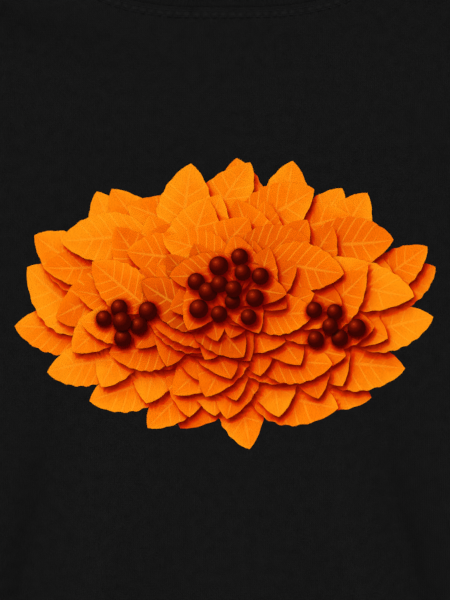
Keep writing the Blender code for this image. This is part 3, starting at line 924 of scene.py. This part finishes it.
def make_sleeve(name, side):
    t, rows = sleeve_rows()
    corners, flat = [], []
    lower = slice(-2, 0, -1)
    for row in rows:
        along = cuff_distance(row)
        corners.append(around(row * (side, 1)))
        wide = (t - 0.5) * np.hypot(*(row[-1] - row[0]))
        flat.append(np.column_stack((np.concatenate((wide, -wide[lower] + 0.4)),
                                     np.concatenate((along, along[lower])))))
    last = len(t) - 1
    sign = np.concatenate((-np.ones(len(t)), np.ones(len(t) - 2)))
    sign[[0, last]] = 0
    out = (CUFF_LOW + CUFF_TOP - SHOULDER - ARMPIT) * (side, 1)
    out = out / np.hypot(*out)
    thick = 2 * JERSEY
    edge = corners[-1]
    for angle in np.radians((45, 90, 135, 180)):
        ring = edge + (*(out * math.sin(angle) * thick / 2), 0)
        ring[:, 2] += sign * (1 - math.cos(angle)) * thick / 2
        corners.append(ring)
        flat.append(flat[-1] - (0, 0.001))
    for up in (0.002, 0.006, 0.012, HEM_BAND):
        top, low = cuff_line(up)
        ring = around(mix(top, low, mix(0.006, 0.994, t)[:, None]) * (side, 1))
        ring[:, 2] += sign * thick
        ring[[0, last], 2] = (ring[[1, last - 1], 2] + ring[[-1, last + 1], 2]) / 2
        corners.append(ring)
        flat.append(flat[-1] - (0, 0.005))
    faces = grid_faces(len(corners), len(edge), closed=True)
    if side > 0:
        faces = [face[::-1] for face in faces]
    return piece(name + "_sleeve_cloth", np.vstack(corners), faces, np.vstack(flat),
                 JERSEY_CLOTH, [name + "_sleeve"])


# ---- Collar ----
# The ribs are drawn coarser than a real 1x1 rib's, which are about 1.4 mm apart, so that they show.
RIB_PITCH = 0.0022
COLUMNS_PER_RIB = 4
RIB_RELIEF = 0.00022
COLLAR_SINK = 0.0010
FOLD_SPACE = 0.0008
FLOOR_CLEARANCE = 0.0001
# The band's section: how far across it is from its seam (0) to its free edge (1), and its height.
# The outer side has a groove behind the seam's bulge; the inner side is flatter.
COLLAR_SECTION = (
    (0.0, 0.44), (0.025, 0.70), (0.05, 0.84), (0.075, 0.84), (0.13, 0.76), (0.30, 0.95), (0.60, 1.0),
    (0.80, 1.0), (0.92, 0.90), (0.975, 0.62), (1.0, 0.0), (0.975, -0.62), (0.90, -0.95), (0.5, -1.0),
    (0.09, -0.95), (0.04, -0.80), (0.0, -0.50), (-0.05, -0.30))


def rib_line(w, drop, squareness, count):
    """One line of the collar band in plan: w runs from its seam (0) to its free edge (1)."""
    half = mix(NECK_HALF, RIB_TIP_HALF, w)
    height = mix(BODY_LENGTH, RIB_TIP_HEIGHT, w)
    lowest = BODY_LENGTH - drop + RIB_WIDTH * w
    angles = np.linspace(0, math.pi, 600)
    return even(arc(half, height, height - lowest, squareness, angles), count)


def collar_level(points, w):
    folded = RIB + FOLD_SPACE + RIB / 2
    level = front_level(points) - JERSEY / 2 - COLLAR_SINK * w
    return np.maximum(folded, level)


def collar_ring(w, front_count, back_count, fold_count):
    """Once round the collar band at one width: its middle points and their outward directions."""
    front = rib_line(w, FRONT_DROP, FRONT_SQUARENESS, front_count)
    back = rib_line(w, BACK_DROP, BACK_SQUARENESS, back_count)[::-1]
    front, back = placed(front, collar_level(front, w)), placed(back, RIB / 2)
    up, down = np.tile(UP, (front_count, 1)), np.tile(-UP, (back_count, 1))
    points, normals = [], []
    for layer, normal, other in ((front, up, back), (back, down, front)):
        run = layer[-1] - layer[-4]
        run[2] = 0
        run /= np.linalg.norm(run)
        centre, arm = (layer[-1] + other[0]) / 2, (layer[-1] - other[0]) / 2
        turn = np.linspace(0, math.pi, fold_count + 2)[1:-1, None]
        direction = arm / np.linalg.norm(arm) * np.cos(turn) + run * np.sin(turn)
        points += [layer, centre + direction * np.linalg.norm(arm)]
        normals += [normal, direction]
    return np.vstack(points), np.vstack(normals)


def make_collar():
    """The doubled 1x1 rib: its ribs are real ridges across the band."""
    per_metre = COLUMNS_PER_RIB / RIB_PITCH
    counts = [int(length_of(seam) * per_metre) for seam in (front_neck(), back_neck())]
    counts.append(COLUMNS_PER_RIB * 2)
    total = counts[0] + counts[1] + 2 * counts[2]
    ribs = RIB_RELIEF * np.cos(2 * math.pi * np.arange(total) / COLUMNS_PER_RIB)
    ribs *= 1 + 0.15 * np.random.default_rng(4).normal(size=total)
    corners, flat = [], []
    for index, (w, height) in enumerate(COLLAR_SECTION):
        points, normals = collar_ring(w, *counts)
        relief = ribs * (1.0 if height > 0 else -0.6) * smooth(-0.01, 0.08, w)
        offset = height * RIB / 2 + relief * min(1.0, abs(height) * 1.5 + 0.2)
        ring = points + normals * offset[:, None]
        ring[:, 2] = np.maximum(ring[:, 2], FLOOR_CLEARANCE)
        corners.append(ring)
        flat.append(np.column_stack((np.arange(total) / per_metre, np.full(total, index * 0.002))))
    faces = grid_faces(len(corners), total, closed=True)
    return piece("neck_rib_cloth", np.vstack(corners), faces, np.vstack(flat), RIB_CLOTH,
                 ["neck_rib"])


# The tape's section: metres across it, and height as a share of its thickness.
TAPE_SECTION = ((-0.0045, 0.0), (-0.0045, 0.7), (-0.00414, 1.0), (-0.0018, 1.05), (0.0018, 1.05),
                (0.00414, 1.0), (0.0045, 0.7), (0.0045, 0.0))


def make_tape():
    """The twill tape over the back neck seam, with its edges turned under."""
    level = JERSEY + GAP
    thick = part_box("neck_tape")[1].z - level
    line = even(back_neck(0.0059, start=math.radians(20)), 120)
    side = inward(line)
    corners, flat = [], []
    along = np.linspace(0, length_of(line), len(line))
    wave = 0.00008 * np.sin(along * 2 * math.pi / 0.007)
    for across, share in TAPE_SECTION:
        corners.append(placed(line + side * across, level + thick * share + wave))
        flat.append(np.column_stack((along, np.full(len(line), across))))
    faces = grid_faces(len(TAPE_SECTION), len(line))
    return piece("neck_tape_cloth", np.vstack(corners), faces, np.vstack(flat), TWILL_TAPE,
                 ["neck_tape"])


# ---- Stitches ----
THREAD = 0.00020
STITCH = 0.0032
STITCH_SIDES = 6
# One stitch: shares of its length, and how far the middle of the thread is above the cloth there.
STITCH_ARC = ((0.02, -0.00030), (0.12, 0.00006), (0.32, 0.00016), (0.55, 0.00018), (0.76, 0.00014),
              (0.90, 0.00002), (0.98, -0.00030))


def make_stitches(node, line, normals):
    """A row of separate stitches: each lies on the cloth and dives into it at both ends."""
    name = node + "_thread"
    along = passed(line)
    count = max(2, int(round(along[-1] / STITCH)))
    chance = np.random.default_rng(len(name))
    place, rise = np.array(STITCH_ARC).T
    turn = np.linspace(0, 2 * math.pi, STITCH_SIDES, endpoint=False)[None, :, None]
    corners, faces = [], []
    for index in range(count):
        here = (index + place) * along[-1] / count
        middle, out = read_line(line, along, here), unit(read_line(normals, along, here))
        side = np.cross(unit(np.gradient(middle, axis=0)), out)
        middle = middle + out * rise[:, None] + side * chance.normal(0, 0.00005)
        section = np.cos(turn) * side[:, None] + 0.8 * np.sin(turn) * out[:, None]
        corners.append((middle[:, None] + THREAD * section).reshape(-1, 3))
        base = index * len(place) * STITCH_SIDES
        end = base + (len(place) - 1) * STITCH_SIDES
        faces += grid_faces(len(place), STITCH_SIDES, closed=True, start=base)
        faces.append(tuple(range(base, base + STITCH_SIDES)))
        faces.append(tuple(range(end + STITCH_SIDES - 1, end - 1, -1)))
    piece(name, np.vstack(corners), faces, None, SPUN_THREAD, [node])


def ring_line(over, count):
    """A line over the garment's front and back again underneath."""
    over = even(over, count)
    under = over[::-1]
    low = back_surface(under)
    low[:, 2] -= JERSEY / 2
    line = np.vstack((surface(over), low, surface(over[:1])))
    normals = np.vstack((facing(over), np.tile(-UP, (count, 1)), facing(over[:1])))
    return line, normals


def make_all_stitches():
    for row, offset in NECK_ROWS.items():
        over = even(front_neck(offset, start=0.10), 500)
        make_stitches("neck_topstitch_" + row, surface(over), facing(over))
    tape_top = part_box("neck_tape")[1].z
    for row, offset in TAPE_ROWS.items():
        over = even(back_neck(offset, start=math.radians(22)), 200)
        normals = np.tile(UP, (len(over), 1))
        make_stitches("tape_topstitch_" + row, placed(over, tape_top), normals)
    for row, distance in HEM_ROWS.items():
        ends = np.array(((HEM_HALF, distance), (-HEM_HALF, distance)))
        make_stitches("hem_topstitch_" + row, *ring_line(ends, 500))
        for side_name, side in SIDES.items():
            ends = np.array(cuff_line(distance)) * (side, 1)
            make_stitches(f"{side_name}_cuff_topstitch_{row}", *ring_line(ends, 180))


# ---- Overlocked seams inside ----
SEAM_INSET = 0.0065
SEAM_WIDTH = 0.0050
OVERLOCK = 0.0007
LOOP_PITCH = 0.0026
LOOP_RISE = 0.00050
LOOP_THREAD = 0.00015


def seam_paths():
    """The middle of each inside seam on the left, in plan, by the name of its CAD strip."""
    start = mix(HEM_CORNER, ARMPIT, 0.026 / ARMPIT[1])
    side = np.vstack((straight(start, ARMPIT, 0.004), np.array((ARMPIT, cuff_line(0.026)[1]))[1:]))
    side = even(side, 300)
    shoulder = straight(mix(NECK_END, SHOULDER, 0.09), mix(NECK_END, SHOULDER, 0.91), 0.003)
    sleeve = armhole(np.linspace(0.07, 0.94, 120))
    return {"side_seam": side + inward(side) * SEAM_INSET,
            "shoulder_seam": shoulder - inward(shoulder) * SEAM_INSET,
            "armhole_seam": sleeve - inward(sleeve) * 0.0035}


def make_overlock(node, path):
    """The cut edges of an inside seam, bound by loops of thread."""
    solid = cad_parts[node].data
    corners = np.zeros(len(solid.vertices) * 3)
    solid.vertices.foreach_get("co", corners)
    corners = corners.reshape(-1, 3) - (0, HEM_Y, 0)
    path = even(path, int(length_of(path) / (LOOP_PITCH / 8)))
    near = [np.argsort(((corners[:, :2] - place) ** 2).sum(axis=1))[:8] for place in path]
    middle = placed(path, [corners[index, 2].mean() for index in near])
    side = np.column_stack((inward(path), np.zeros(len(path)))) * SEAM_WIDTH / 2
    strip = np.stack([middle + side * across + UP * rise * OVERLOCK / 2
                      for across, rise in ((-0.9, -0.6), (0.9, -0.6), (0.9, 0.6), (-0.9, 0.6))], axis=1)
    turn = (np.arange(len(path)) * 2 * math.pi / 8)[:, None]
    thread = middle + 0.97 * side * np.cos(turn) + LOOP_RISE * np.sin(turn) * UP
    run = unit(np.gradient(thread, axis=0))
    first = unit(np.cross(run, UP))
    second = np.cross(run, first)
    loops = np.stack([thread + LOOP_THREAD * (math.cos(angle) * first + math.sin(angle) * second)
                      for angle in np.radians((45, 135, 225, 315))], axis=1)
    faces = grid_faces(len(path), 4, True) + grid_faces(len(path), 4, True, start=4 * len(path))
    piece(node + "_overlock", np.vstack((strip.reshape(-1, 3), loops.reshape(-1, 3))), faces, None,
          OVERLOCK_CLOTH, [node])


# ---- The chest print ----
INK_LIFT = 0.00014
INK_LAYER = 0.00003
LEAF_ROWS = 28
LEAF_COLUMNS = 11
LEAF_BASE = 0.62
LEAF_TIP = 0.80
LEAF_LENGTHS = (0.040, 0.052)
LEAF_WIDTHS = (0.54, 0.66)
BOUGHS = (0, 17, 34, 51, 68, 84, -17, -35, -52, -69, -85)
LEAVES_PER_BOUGH = 6
# Clusters of berries in the middle of the foliage: place from the print's middle, and how many.
CLUSTERS = ((0.002, 0.006, 13), (-0.054, -0.012, 6), (0.058, -0.016, 6))
BERRY_RADII = (0.0042, 0.0054)
BERRY_SPACING = 0.0056
BERRY_ROWS = 7
BERRY_SIDES = 24
# The shadows that each leaf throws on those below: where the light comes from, softness, darkness.
SHADOWS = (((-0.0014, 0.0024), 0.0022, 0.72), ((-0.0028, 0.0050), 0.0070, 0.38))


def leaf_half_width(u):
    """A beech leaf's outline: half its width at each place along it, 1 at the widest."""
    u = np.clip(u, 0, 1)
    body = (u ** LEAF_BASE) * ((1 - u) ** LEAF_TIP)
    widest = LEAF_BASE / (LEAF_BASE + LEAF_TIP)
    body /= (widest ** LEAF_BASE) * ((1 - widest) ** LEAF_TIP)
    return body * (1 + 0.035 * np.sin(2 * math.pi * 7 * u) * smooth(0.1, 0.3, u) * smooth(1, 0.85, u))


class Leaf:
    """One printed leaf: where it grows from, how it points, its size, bend and colour."""

    def __init__(self, base, angle, length, width, bend, tone, flip):
        self.base, self.length, self.width = np.array(base), length, width
        self.along = np.array((math.cos(angle), math.sin(angle)))
        self.across = np.array((-self.along[1], self.along[0]))
        self.bend, self.tone, self.flip = bend, tone, flip

    def places(self, u, v):
        """u runs from the stalk to the tip, v from edge to edge (-1 to 1)."""
        aside = self.bend * self.length * u * u + v * leaf_half_width(u) * self.width / 2
        return self.base + np.outer(u * self.length, self.along) + np.outer(aside, self.across)

    def cover(self, points, blur):
        """How far inside the leaf each point is: 0 outside, 1 inside, soft over blur."""
        away = points - self.base
        u = away @ self.along / self.length
        v = away @ self.across - self.bend * self.length * u * u
        half = leaf_half_width(u) * self.width / 2
        ends = smooth(-blur, blur, u * self.length) * smooth(-blur, blur, (1 - u) * self.length)
        return smooth(-blur, blur, half - np.abs(v)) * ends


def spray():
    """Foliage that grows outward in boughs and fills an oval: the outer leaves first, below."""
    chance = np.random.default_rng(21)
    half = PRINT_SIZE / 2
    leaves = []
    for side, bough, k in itertools.product((1, -1), BOUGHS, range(LEAVES_PER_BOUGH)):
        out = 1.0 - 0.72 * k / (LEAVES_PER_BOUGH - 1)
        tilt = (1 if (k + side) % 2 else -1) * math.radians(chance.uniform(8, 30))
        turn = math.radians(bough + chance.normal(0, 3)) + tilt * 0.42 * out
        reach = out * chance.uniform(0.96, 1.04)
        tip = half * reach * (side * math.cos(turn), math.sin(turn))
        heading = math.atan2(half[1] * math.sin(turn), half[0] * math.cos(turn)) + tilt
        angle = heading if side > 0 else math.pi - heading
        length = chance.uniform(*LEAF_LENGTHS) * (0.78 + 0.22 * out)
        width = length * chance.uniform(*LEAF_WIDTHS)
        base = tip - length * np.array((math.cos(angle), math.sin(angle)))
        tone = np.clip(0.06 + 0.80 * out + chance.normal(0, 0.13), 0, 1)
        order = -out + chance.normal(0, 0.08)
        leaf = Leaf(base, angle, length, width, chance.normal(0, 0.09), tone, chance.random() < 0.5)
        leaves.append((order, leaf))
    leaves.sort(key=lambda item: item[0])
    return [leaf for _, leaf in leaves]


def stacked(leaves):
    """Each leaf's layer: one above the highest of the leaves that it covers."""
    u, v = np.meshgrid(np.linspace(0, 1, 9), np.linspace(-0.9, 0.9, 5))
    layers = []
    for index, leaf in enumerate(leaves):
        points = leaf.places(u.ravel(), v.ravel())
        under = [layers[k] for k in range(index) if leaves[k].cover(points, 0.001).max() > 0.3]
        layers.append(1 + max(under, default=0))
    return layers


def berries():
    """Middle and radius of each printed berry, packed as a sunflower packs its seeds."""
    chance = np.random.default_rng(8)
    found = []
    for x, y, count in CLUSTERS:
        for k in range(count):
            out = BERRY_SPACING * math.sqrt(k + 0.2)
            turn = 2.4 * k + x * 50
            middle = (x + out * math.cos(turn) * 1.15, y + out * math.sin(turn) * 0.95)
            found.append((middle + chance.normal(0, 0.0006, 2), chance.uniform(*BERRY_RADII)))
    return found[::-1]


def laid_ink(name, material, shapes, rows, columns, closed=False):
    """A film of ink on the chest; each shape has its places, its layer and named numbers."""
    places = np.vstack([points for points, _, _ in shapes]) + PRINT_CENTRE
    lift = INK_LIFT + INK_LAYER * np.repeat([layer for _, layer, _ in shapes], rows * columns)
    faces = []
    for k in range(len(shapes)):
        faces += grid_faces(rows, columns, closed, k * rows * columns)
    values = {key: np.concatenate([numbers[key] for _, _, numbers in shapes]) for key in shapes[0][2]}
    corners = surface(places) + facing(places, 0.002) * lift[:, None]
    return piece(name, corners, faces, places, material, values=values)


def leaf_shapes(leaves, layers):
    """Each leaf with the soft shadows that the leaves and berries above it throw down and left."""
    u, v = np.meshgrid(np.linspace(0, 1, LEAF_ROWS), np.linspace(-1, 1, LEAF_COLUMNS), indexing="ij")
    u, v = u.ravel(), v.ravel()
    round_fruit = berries()
    for index, leaf in enumerate(leaves):
        points = leaf.places(u, v)
        shade = np.zeros(len(points))
        for above in leaves[index + 1:]:
            shadows = [dark * above.cover(points + way, soft) for way, soft, dark in SHADOWS]
            shade = np.maximum(shade, sum(shadows))
        for middle, radius in round_fruit:
            away = np.hypot(*(points + (-0.001, 0.0016) - middle).T)
            shade = np.maximum(shade, 1 - smooth(radius * 0.9, radius + 0.0035, away))
        yield points, layers[index], {"along": u, "across": v, "tone": np.full(len(u), leaf.tone),
                                      "shade": np.clip(shade, 0, 1), "fold": v if leaf.flip else -v}


def berry_shapes(top_layer):
    out = np.repeat(np.linspace(0.02, 1, BERRY_ROWS), BERRY_SIDES)
    turn = np.tile(np.linspace(0, 2 * math.pi, BERRY_SIDES, endpoint=False), BERRY_ROWS)
    circle = np.column_stack((np.cos(turn), np.sin(turn)))
    light_side = np.hypot(*(circle * out[:, None] - (-0.30, 0.38)).T)
    everything = berries()
    for index, (middle, radius) in enumerate(everything):
        points = middle + (out * radius)[:, None] * circle
        shade = np.zeros(len(points))
        for other, size in everything[index + 1:]:
            gap = np.hypot(*(points + (-0.0006, 0.0009) - other).T) - size
            shade = np.maximum(shade, 1 - smooth(-0.0002, 0.0016, gap))
        yield points, top_layer + 1 + 0.25 * index, {"along": light_side, "shade": shade}


def make_print():
    leaves = spray()
    layers = stacked(leaves)
    foliage = list(leaf_shapes(leaves, layers))
    fruit = list(berry_shapes(max(layers)))
    laid_ink("chest_print_leaves", LEAF_INK, foliage, LEAF_ROWS, LEAF_COLUMNS)
    laid_ink("chest_print_berries", BERRY_INK, fruit, BERRY_ROWS, BERRY_SIDES, closed=True)


# ---- Stage ----

def make_floor():
    """A board rolled with matt paint: pale, even and without gloss."""
    bpy.ops.mesh.primitive_plane_add(size=80, location=(0, 0, 0))
    floor = bpy.context.object
    floor.name = "floor"
    material, shader, _ = new_material("pale_rolled_matt_paint")
    fill(shader, {"Base Color": "#dcdbd8", "Roughness": 0.85})
    floor.data.materials.append(material)


def light(name, kind, strength, heading, **settings):
    """A light that shines along heading and isn't seen itself."""
    data = bpy.data.lights.new(name, kind)
    put(data, energy=strength, **settings)
    lamp = bpy.data.objects.new(name, data)
    lamp.rotation_euler = Vector(heading).to_track_quat("-Z", "Y").to_euler()
    lamp.visible_camera = False
    bpy.context.collection.objects.link(lamp)
    return lamp


def make_lights():
    """Lit walls beyond the collar and at both sides, a soft box above the hem and a dim pale room."""
    light("window", "SUN", strength=2.45, heading=(0.04, -1.15, -1.0), angle=math.radians(28))
    for name, side in SIDES.items():
        heading = (-0.85 * side, 0.24, -0.44)
        light(name + "_wall", "SUN", strength=1.1, heading=heading, angle=math.radians(34))
    away = Vector((0, -0.30, 0.45))
    softbox = light("softbox", "AREA", strength=0.30, heading=-away, shape="SQUARE", size=0.40)
    softbox.location = away + Vector((0, CHEST_Y, 0))
    world = bpy.context.scene.world or bpy.data.worlds.new("world")
    bpy.context.scene.world = world
    world.use_nodes = True
    tree = world.node_tree
    height = add(tree, "SeparateXYZ", {0: add(tree, "TexCoord")}).outputs["Z"]
    pale = add(tree, "MapRange", {"Value": height, "From Min": 0.02, "From Max": 0.22,
                                  "To Min": 0.56, "To Max": 0.12})
    fill(tree.nodes["Background"], {"Color": "#f4f4f4", "Strength": pale})


def make_camera():
    """Straight above the print, framing a height of 330 mm of the chest."""
    lens, sensor, view_height = 90.0, 36.0, 0.330
    data = bpy.data.cameras.new("camera")
    put(data, lens=lens, sensor_width=sensor, clip_end=50)
    camera = bpy.data.objects.new("camera", data)
    camera.location = (0, CHEST_Y, BODY_CROWN + STACK + view_height * lens / sensor)
    bpy.context.collection.objects.link(camera)
    bpy.context.scene.camera = camera


FOLD_FIELD, FOLD_ORIGIN = laid_folds()
front_cloth, back_cloth = make_body()
sleeve_cloths = [make_sleeve(name, side) for name, side in SIDES.items()]
collar_cloth = make_collar()
tape_cloth = make_tape()
make_all_stitches()
make_print()
for (name, path), (side_name, side) in itertools.product(seam_paths().items(), SIDES.items()):
    make_overlock(f"{side_name}_{name}", path * (side, 1))
make_floor()
make_lights()
make_camera()
bpy.context.scene.view_settings.view_transform = "Standard"
